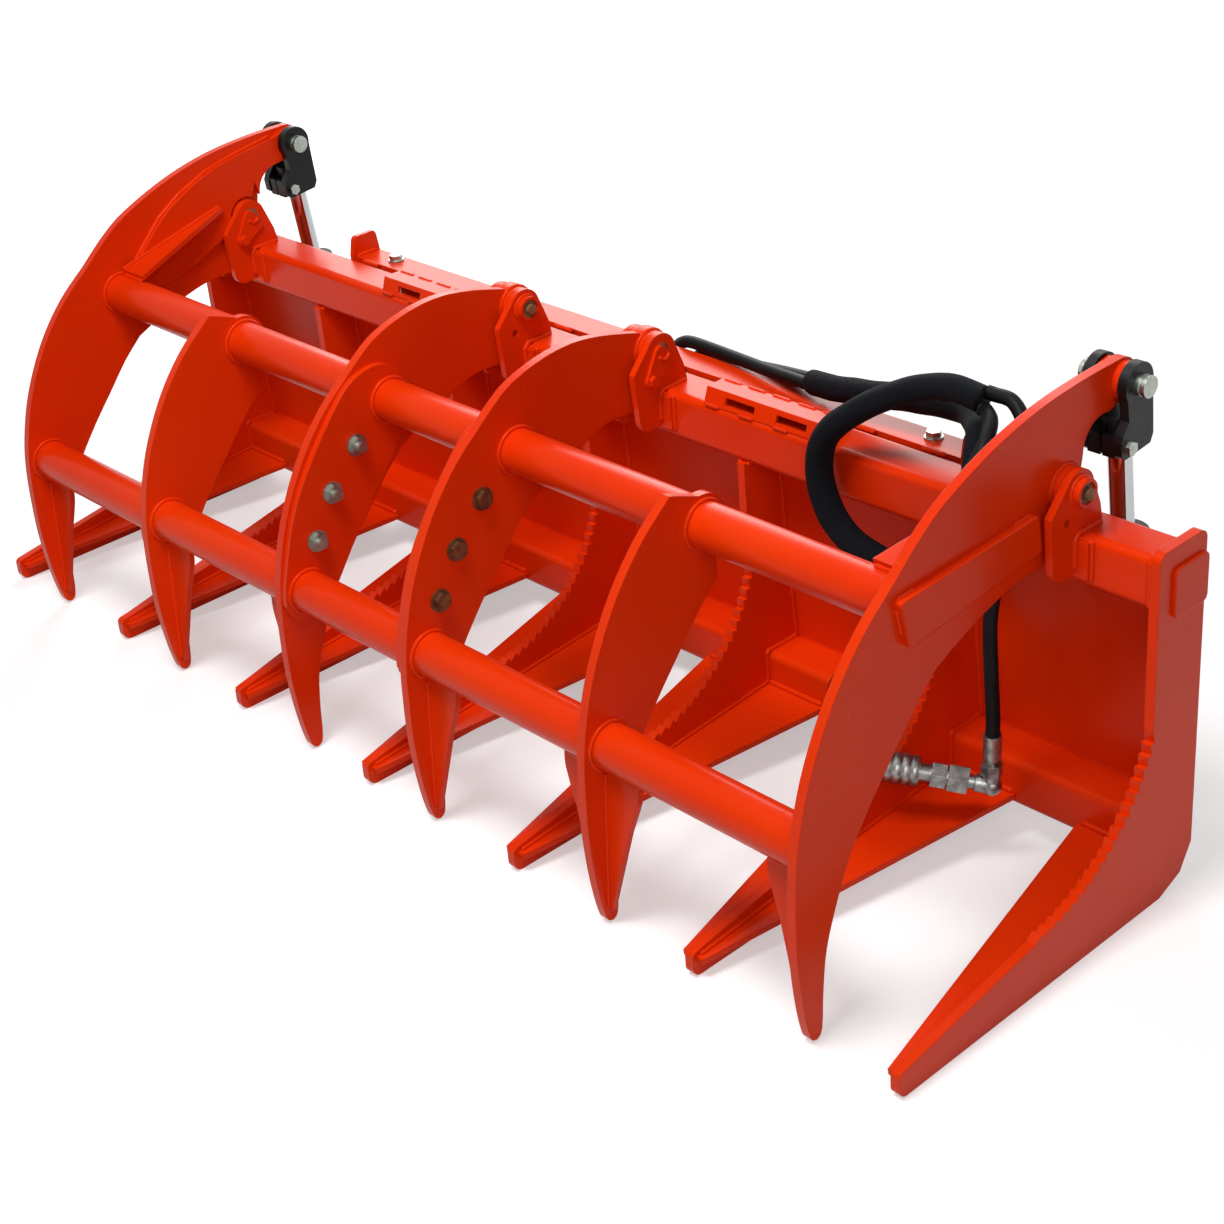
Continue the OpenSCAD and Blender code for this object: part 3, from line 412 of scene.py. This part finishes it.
# a closed tube whose texture map runs in metres round it and along it
def tubeAlong(name, route, radiusAt, sides, material):
    verts, faces, lengths = [], [], [0]
    frames = routeFrames(route)
    for a, b in zip(route, route[1:]):
        lengths.append(lengths[-1] + (b - a).length)
    for run, (p, along, side, other) in zip(lengths, frames):
        for k in range(sides):
            a = 2 * math.pi * k / sides
            verts.append(p + radiusAt(run, a) * (math.cos(a) * side + math.sin(a) * other))
    for i in range(len(frames) - 1):
        for k in range(sides):
            a, b, n = i * sides, (i + 1) * sides, (k + 1) % sides
            faces.append((a + k, a + n, b + n, b + k))
    last = (len(frames) - 1) * sides
    faces.append(tuple(reversed(range(sides))))
    faces.append(tuple(range(last, last + sides)))
    obj = addMesh(name, verts, faces, material, "frame")
    layer = obj.data.uv_layers.new(name="UVMap")
    girth = 2 * math.pi * radiusAt(0, 0)
    for polygon in obj.data.polygons:
        closing = len(polygon.vertices) == 4 and max(v % sides for v in polygon.vertices) == sides - 1
        for corner, v in zip(polygon.loop_indices, polygon.vertices):
            ring, k = divmod(v, sides)
            if closing and k == 0:
                k = sides
            layer.data[corner].uv = (k / sides * girth, lengths[ring])
    return obj


def makeHoses(h):
    radius = h["diameter"] / 2
    for name, key, node, end, onIt in (("feedHoseFront", "feedFront", "hose_feed", "object", ()),
                                       ("feedHoseBack", "feedBack", None, "object", ()),
                                       ("leftHose", "left", "hose_left", "fitting", ("hose_elbows",)),
                                       ("rightHose", "right", "hose_right", "fitting",
                                        ("coupler_male", "coupler_female"))):
        route = smoothRoute(h[key], h["ringsPerPoint"])
        hose = tubeAlong(name, route, lambda s, a: radius, h["sides"], rubber)
        if node:
            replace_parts(hose, node)
    route = smoothRoute(h["sleeve"], h["ringsPerPoint"])
    half = h["sleeveDiameter"] / 2

    # the sleeve lies a little flat over the two hoses and is creased
    def sleeveRadius(s, a):
        around = h["creasesRound"]
        crease = noise.noise(Vector((s * h["creasesPerMetre"], math.cos(a) * around, math.sin(a) * around)))
        flat = 1 - h["flatness"] * math.sin(a + h["flatTurn"]) ** 2
        return half * (flat + h["creaseDepth"] * crease) * h["slack"]

    sleeve = tubeAlong("wovenSleeve", route, sleeveRadius, h["sleeveSides"], nylon)
    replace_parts(sleeve, "hose_sleeve")


makeHoses(hoses)
print("hoses laid")


# weld beads: rows of overlapping ripples along the seams, all in millimetres until a mesh is made
weld = {
    "ripple": 5.0,
    "sides": 7,
    "sink": 1.0,
    "hollow": 0.84,  # a ripple's foot, as a share of the bead's radius
    "rise": 0.24,
    "wander": 0.14,  # slow change of the bead's width
    "wanderPerMm": 0.06,
    "nextBead": 7.3,
    "blunt": 0.35,  # a bead's end, as a share of its radius
}


def weldMesh(name, beads, body):
    verts, faces = [], []
    sides, ripple = weld["sides"], weld["ripple"]
    for number, (route, radius) in enumerate(beads):
        dense = [Vector(route[0])]
        for a, b in zip(route, route[1:]):
            a, b = Vector(a), Vector(b)
            steps = max(1, int((b - a).length / (ripple / 3)))
            dense += [a + (b - a) * (k + 1) / steps for k in range(steps)]
        start, run, ring = len(verts), 0, routeFrames(dense)
        length = routeLength(dense)
        for i, (p, along, side, other) in enumerate(ring):
            if i:
                run += (p - ring[i - 1][0]).length
            wave = (run / ripple) % 1
            drift = noise.noise(Vector((run * weld["wanderPerMm"] + number * weld["nextBead"], 0, 0)))
            swell = weld["hollow"] + weld["rise"] * wave ** 0.5 + weld["wander"] * drift
            swell *= min(1, weld["blunt"] + min(run, length - run) / radius)
            for k in range(sides):
                a = 2 * math.pi * k / sides
                verts.append((p + radius * swell * (math.cos(a) * side + math.sin(a) * other)) * mm)
        for i in range(len(ring) - 1):
            for k in range(sides):
                a, b, n = start + i * sides, start + (i + 1) * sides, (k + 1) % sides
                faces.append((a + k, a + n, b + n, b + k))
        last = start + (len(ring) - 1) * sides
        faces.append(tuple(reversed(range(start, start + sides))))
        faces.append(tuple(range(last, last + sides)))
    addMesh(name, verts, faces, coat, body)


def boxMm(node):
    low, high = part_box(node)
    return [v * 1000 for v in low], [v * 1000 for v in high]


def at(x, side, points):
    return [(x + side * weld["sink"], y, z) for y, z in points]


def arcRoute(x, centre, radius, start=0, end=360, steps=40):
    turns = [math.radians(start + (end - start) * k / steps) for k in range(steps + 1)]
    return [(x, centre[0] + radius * math.cos(t), centre[1] + radius * math.sin(t)) for t in turns]


def stitches(a, b, count, length):
    a, b = Vector(a), Vector(b)
    along = (b - a).normalized()
    step = ((b - a).length - length) / max(1, count - 1)
    return [[a + along * step * k, a + along * (step * k + length)] for k in range(count)]


# seams of the lower frame, as points in Y and Z beside the tines
frameSeams = {
    "plates": ["end_plate_left"] + ["lower_tine_%d" % i for i in range(1, 6)] + ["end_plate_right"],
    "beamAndSheet": [(-65, 46), (-65, 105), (-63, 107), (-7.5, 107), (-26, 387)],
    "tube": [(-84, 392), (-84, 447), (-79, 453), (-24, 453)],
    "underTube": [(-82, 387), (-28, 387)],
    "sole": [(-66, 61.5), (-506, 28.5)],
    "soleAtBeam": (-65.2, 61.8),
    "soleFrom": 3,
    "soleTo": 96,
    "plateBead": 3.6,
    "tubeBead": 3.4,
    "soleBead": 2.8,
    "beamBead": 3.8,
    "sheetBead": 4.2,
    "halfSheet": 3,
}


def frameWelds(w):
    beads = []
    last = len(w["plates"]) - 1
    for k, plate in enumerate(w["plates"]):
        low, high = boxMm(plate)
        for x, side in ((low[0], -1), (high[0], 1)):
            if (k == 0 and side < 0) or (k == last and side > 0):
                continue
            beads.append((at(x, side, w["beamAndSheet"]), w["plateBead"]))
            beads.append((at(x, side, w["tube"] if k in (0, last) else w["underTube"]), w["tubeBead"]))
            beads.append((at(x, side, w["sole"]), w["soleBead"]))
            y, z = w["soleAtBeam"]
            a, b = x + side * w["soleFrom"], x + side * w["soleTo"]
            beads.append(([(a, y, z), (b, y, z)], w["beamBead"]))
    sheetLow, sheetHigh = boxMm("back_sheet")
    tubeFoot, beamTop = boxMm("top_tube")[0][2], boxMm("cross_beam")[1][2]
    for left, right in zip(w["plates"], w["plates"][1:]):
        a, b = boxMm(left)[1][0] + weld["sink"], boxMm(right)[0][0] - weld["sink"]
        for y, z in ((sheetLow[1] + w["halfSheet"], (sheetHigh[2] + tubeFoot) / 2),
                     (sheetHigh[1] - w["halfSheet"], (sheetLow[2] + beamTop) / 2)):
            beads.append(([(a, y, z), (b, y, z)], w["sheetBead"]))
    weldMesh("frameWelds", beads, "frame")


# welds of the pivot ears, the pads behind them, the keepers and the collars
earSeams = {
    "pivot": (-82, 503),
    "earOut": 26.85,
    "padHalf": 44.85,
    "ear": [(-91, 411), (-91, 446), (-84.5, 453), (-42, 453)],
    "padY": -84,
    "padZ": (401.5, 447.5),
    "keeperSides": (1, -1, 1, -1),
    "keeperThick": 5,
    "collarRadius": 17.2,
    "collarOff": 0.6,
    "keeperArc": (8.4, 190, 350, 16),  # radius, start, end and steps
    "keeperOff": 0.4,
    "padOff": 1,
    "earBead": 3.4,
    "padBead": 2.8,
    "keeperBead": 2.4,
    "collarBead": 2.6,
}


def earWelds(w):
    beads = []
    for i, tine in enumerate((1, 3, 4, 6)):
        low, high = boxMm("upper_tine_%d" % tine)
        x = (low[0] + high[0]) / 2
        for side in (-1, 1):
            beads.append((at(x + side * w["earOut"], side, w["ear"]), w["earBead"]))
        low, high = w["padZ"]
        a, b = x - w["padHalf"] - w["padOff"], x + w["padHalf"] + w["padOff"]
        y = w["padY"]
        beads.append(([(a, y, low), (a, y, high), (b, y, high), (b, y, low), (a, y, low)], w["padBead"]))
        side = w["keeperSides"][i]
        onKeeper = x + side * (w["earOut"] + w["keeperThick"] + w["keeperOff"])
        beads.append((arcRoute(onKeeper, w["pivot"], *w["keeperArc"]), w["keeperBead"]))
        onEar = x - side * (w["earOut"] + w["collarOff"])
        beads.append((arcRoute(onEar, w["pivot"], w["collarRadius"]), w["collarBead"]))
    weldMesh("earWelds", beads, "frame")


# stitches that hold the hitch flange, its ears and the hose guides
backSeams = {
    "slot": ((-566, -14.5, 449.5), (566, -14.5, 449.5), 11, 36),  # ends, number and length of the stitches
    "earFeet": [(-8, 451.5), (28, 451.5)],
    "earX": 589,
    "guideX": 332,
    "guideHalf": 100,
    "guideFoot": (-81.5, 451.5),
    "guideInside": (0.5, 1.5),
    "footStitches": (4, 24),
    "topStitches": (5, 32),
    "slotBead": 4.2,
    "earBead": 3.2,
    "footBead": 2.6,
    "guideBead": 3.6,
}


def backWelds(w):
    beads = [(route, w["slotBead"]) for route in stitches(*w["slot"])]
    y, z = w["guideFoot"]
    guideHigh = boxMm("hose_guides")[1]
    back, top = guideHigh[1] - w["guideInside"][0], guideHigh[2] - w["guideInside"][1]
    for side in (-1, 1):
        beads.append((at(side * w["earX"], -side, w["earFeet"]), w["earBead"]))
        a, b = side * w["guideX"] - w["guideHalf"], side * w["guideX"] + w["guideHalf"]
        beads += [(route, w["footBead"]) for route in stitches((a, y, z), (b, y, z), *w["footStitches"])]
        upper = stitches((a, back, top), (b, back, top), *w["topStitches"])
        beads += [(route, w["guideBead"]) for route in upper]
    weldMesh("backWelds", beads, "frame")


# seams round the lid's pipes, where they meet the tines
pipeSeams = {"sink": 1.4, "offPlate": 1.3, "steps": 56, "bead": 2.8}


def pipeWelds(w):
    beads = []
    for level in ("upper", "lower"):
        for part in ("left", "centre", "right"):
            low, high = boxMm(level + "_pipe_" + part)
            centre = ((low[1] + high[1]) / 2, (low[2] + high[2]) / 2)
            radius = (high[2] - low[2]) / 2 - w["sink"]
            ends = [low[0], high[0]]
            if part != "centre":
                a, b = boxMm("upper_tine_2" if part == "left" else "upper_tine_5")
                ends += [a[0], b[0]]
            for k, x in enumerate(sorted(ends)):
                x += w["offPlate"] if k % 2 == 0 else -w["offPlate"]
                beads.append((arcRoute(x, centre, radius, steps=w["steps"]), w["bead"]))
    weldMesh("pipeWelds", beads, "lid")


# seams of the lid's hubs, gussets, doublers and braces, and of its bare plate
lidSeams = {
    "pivot": (-82, 503),
    "hubRadius": 25.6,
    "hubOff": 0.8,
    "halfPlate": 6.35,
    "doublerThick": 9.5,
    "gussetFoot": (-506.2, 19.5),
    "gussetTop": (-491.9, 208),
    "gussetHalf": 4,
    "gussetOff": 0.6,
    "gussetInset": 4,
    "gussetLift": 0.5,
    "gussetWidth": 54,
    "doublerTop": [(-283, 490), (-230, 541), (-192, 564.5), (-139, 586.5), (-85, 598.5), (-14, 609)],
    "doublerFoot": [(-134, 476), (-214, 443.5), (-278, 438)],
    "braceFoot": (-309, 478.7),
    "braceHead": (-126, 523),
    "braceThick": 8,
    "braceOff": 0.8,
    "braceFrom": 2,
    "braceTo": 50,
    "braceFootOff": 1,
    "badge": [(-364, 484), (-138, 493), (-132, 447), (-351, 424.5)],
    "badgeStitches": [(0, 0.02, 0.14), (0, 0.86, 0.985), (1, 0.1, 0.5), (2, 0.04, 0.16), (2, 0.84, 0.98),
                      (3, 0.3, 0.8)],  # side of the plate, start and end along it
    "hubBead": 2.6,
    "gussetBead": 2.4,
    "gussetTopBead": 2.6,
    "doublerBead": 3.4,
    "braceBead": 3.0,
    "braceFootBead": 3.4,
    "badgeBead": 2.6,
}


def lidWelds(w):
    beads = []
    foot, top = w["gussetFoot"], w["gussetTop"]
    for i in range(1, 7):
        low, high = boxMm("upper_tine_%d" % i)
        middle = (low[0] + high[0]) / 2
        if i not in (2, 5):
            for x, side in ((low[0], -1), (high[0], 1)):
                onHub = x + side * w["hubOff"]
                beads.append((arcRoute(onHub, w["pivot"], w["hubRadius"]), w["hubBead"]))
        for side, skipped in ((1, (3, 6)), (-1, (1, 4))):
            if i in skipped:
                continue
            x = middle + side * w["halfPlate"]
            for k in (-1, 1):
                off = k * (w["gussetHalf"] + w["gussetOff"])
                inset = w["gussetInset"]
                upright = [(foot[0] + off, foot[1] + inset), (top[0] + off, top[1] - inset)]
                beads.append((at(x, side, upright), w["gussetBead"]))
                y, z = top[0] + off, top[1] + w["gussetLift"]
                a, b = x + side * inset, x + side * w["gussetWidth"]
                beads.append(([(a, y, z), (b, y, z)], w["gussetTopBead"]))
    for side in (-1, 1):
        low, high = boxMm("upper_tine_%d" % (6 if side > 0 else 1))
        middle = (low[0] + high[0]) / 2
        x = middle - side * w["halfPlate"]
        for seam in (w["doublerTop"], w["doublerFoot"]):
            beads.append((at(x, -side, seam), w["doublerBead"]))
        x -= side * w["doublerThick"]
        foot, head = Vector(w["braceFoot"]), Vector(w["braceHead"])
        normal = Vector((-(head - foot).y, (head - foot).x)).normalized()
        for off in (-w["braceOff"], w["braceThick"] + w["braceOff"]):
            a, b = foot + normal * off, head + normal * off
            beads.append((at(x, -side, [tuple(a), tuple(b)]), w["braceBead"]))
        y, z = foot.x - w["braceFootOff"], foot.y
        a, b = x - side * w["braceFrom"], x - side * w["braceTo"]
        beads.append(([(a, y, z), (b, y, z)], w["braceFootBead"]))
    x = boxMm("upper_tine_6")[1][0]
    corners = [Vector(corner) for corner in w["badge"]]
    for number, start, end in w["badgeStitches"]:
        p, q = corners[number], corners[(number + 1) % len(corners)]
        m, n = p + (q - p) * start, p + (q - p) * end
        beads.append((at(x, 1, [tuple(m), tuple(n)]), w["badgeBead"]))
    weldMesh("lidWelds", beads, "lid")


frameWelds(frameSeams)
earWelds(earSeams)
backWelds(backSeams)
pipeWelds(pipeSeams)
lidWelds(lidSeams)
print("welds laid")


# two raised plates, left bare: a square one on the right end plate and a long one on the last upper tine
endBadge = {"on": "end_plate_right", "raise": 4.6, "corner": 9, "bevel": 1.4,
            "corners": [(-62, 373), (0, 373), (0, 435), (-62, 435)]}
tineBadge = {"on": "upper_tine_6", "raise": 10, "corner": 5, "bevel": 1.6,
             "corners": [(-351, 424.5), (-132, 447), (-138, 493), (-364, 484)]}
cornerSteps = 6


# the outline of a plate with round corners, at a distance inside its edge
def roundedOutline(corners, radius, inset):
    points = []
    for i, corner in enumerate(corners):
        before, here, after = (Vector(corners[k % len(corners)]) for k in (i - 1, i, i + 1))
        arriving, leaving = (here - before).normalized(), (after - here).normalized()
        outIn, outOut = Vector((arriving.y, -arriving.x)), Vector((leaving.y, -leaving.x))
        middle = (outIn + outOut).normalized()
        centre = here - middle * radius / middle.dot(outIn)
        turn = outIn.angle_signed(outOut)
        start = math.atan2(outIn.y, outIn.x)
        for k in range(cornerSteps + 1):
            a = start - turn * k / cornerSteps
            points.append(centre + (radius - inset) * Vector((math.cos(a), math.sin(a))))
    return points


def makeRaisedPlate(name, p, body):
    face = boxMm(p["on"])[1][0]
    bevel, top = p["bevel"], face + p["raise"]
    levels = [(face - 0.2, 0), (top - bevel, 0), (top - 0.3 * bevel, 0.35 * bevel), (top, bevel)]
    verts, faces = [], []
    for x, inset in levels:
        verts += [Vector((x, y, z)) * mm for y, z in roundedOutline(p["corners"], p["corner"], inset)]
    n = len(verts) // len(levels)
    for i in range(len(levels) - 1):
        for k in range(n):
            faces.append((i * n + k, i * n + (k + 1) % n, (i + 1) * n + (k + 1) % n, (i + 1) * n + k))
    faces.append(tuple(range((len(levels) - 1) * n, len(levels) * n)))
    faces.append(tuple(reversed(range(n))))
    return addMesh(name, verts, faces, coat, body, smooth=False)


makeRaisedPlate("endBadgePlate", endBadge, "frame")
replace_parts(makeRaisedPlate("tineBadgePlate", tineBadge, "lid"), "blank_plate")
print("bare plates made")


# pale floor and light; to the camera the floor turns from paper grey to white between two distances in metres
studio = {
    "floor": "#CFCFCF",
    "floorSize": 60,
    "floorBelow": 0.0005,
    "floorRough": 0.9,
    "floorSpecular": 0.1,
    "sky": 0.10,
    "paper": 0.45,
    "whiteFrom": 1.3,
    "whiteAt": 2.8,
    "lamps": [  # name, watts, size, place and the point it faces
        ("overheadBox", 84, 1.1, (0.4, -1.3, 3.2), (0, -0.2, 0.2)),
        ("frontBox", 31, 1.6, (2.9, -2.0, 2.2), (0.1, -0.2, 0.3)),
        ("rimBox", 56, 2.0, (-2.0, 1.9, 1.9), (0, -0.1, 0.4)),
    ],
}


# 1 for the rays that show the background as white: those of the camera and of mirrors
def whiteForTheEye(tree):
    path = addNode(tree, "ShaderNodeLightPath")
    return addNode(tree, "ShaderNodeMath",
                   links={0: path.outputs["Is Camera Ray"], 1: path.outputs["Is Glossy Ray"]},
                   operation="MAXIMUM").outputs[0]


def makeStudio(s):
    bpy.ops.mesh.primitive_plane_add(size=s["floorSize"], location=(0, 0, cadBox[0][2] - s["floorBelow"]))
    floor = bpy.context.object
    floor.name = "paleFloor"
    material, tree, shader, place = newMaterial("pale matt floor", {
        "Base Color": hexToLinear(s["floor"]), "Roughness": s["floorRough"],
        "Specular IOR Level": s["floorSpecular"], "Emission Color": (1, 1, 1, 1)})
    middle = addNode(tree, "ShaderNodeVectorMath", links={0: place}, operation="LENGTH")
    spread = addNode(tree, "ShaderNodeMapRange",
                     {"From Min": s["whiteFrom"], "From Max": s["whiteAt"], "To Min": s["paper"]},
                     {"Value": middle.outputs["Value"]})
    lift = addNode(tree, "ShaderNodeMath", links={0: whiteForTheEye(tree), 1: spread.outputs[0]},
                   operation="MULTIPLY")
    tree.links.new(lift.outputs[0], shader.inputs["Emission Strength"])
    floor.data.materials.append(material)

    world = bpy.data.worlds.new("softSky")
    world.use_nodes = True
    tree = world.node_tree
    tree.nodes.clear()
    out = addNode(tree, "ShaderNodeOutputWorld")
    level = addNode(tree, "ShaderNodeMapRange", {"To Min": s["sky"], "To Max": 1.0},
                    {"Value": whiteForTheEye(tree)})
    sky = addNode(tree, "ShaderNodeBackground", {"Color": (1, 1, 1, 1)}, {"Strength": level.outputs[0]})
    tree.links.new(sky.outputs[0], out.inputs[0])
    bpy.context.scene.world = world

    for name, power, size, place, target in s["lamps"]:
        data = bpy.data.lights.new(name, "AREA")
        data.energy = power
        data.size = size
        lamp = bpy.data.objects.new(name, data)
        away = (Vector(place) - Vector(target)).to_track_quat("Z", "Y")
        lamp.matrix_world = Matrix.Translation(place) @ away.to_matrix().to_4x4()
        lamp.visible_camera = False
        bpy.context.collection.objects.link(lamp)


makeStudio(studio)
bpy.context.scene.view_settings.view_transform = "Standard"
print("studio ready")
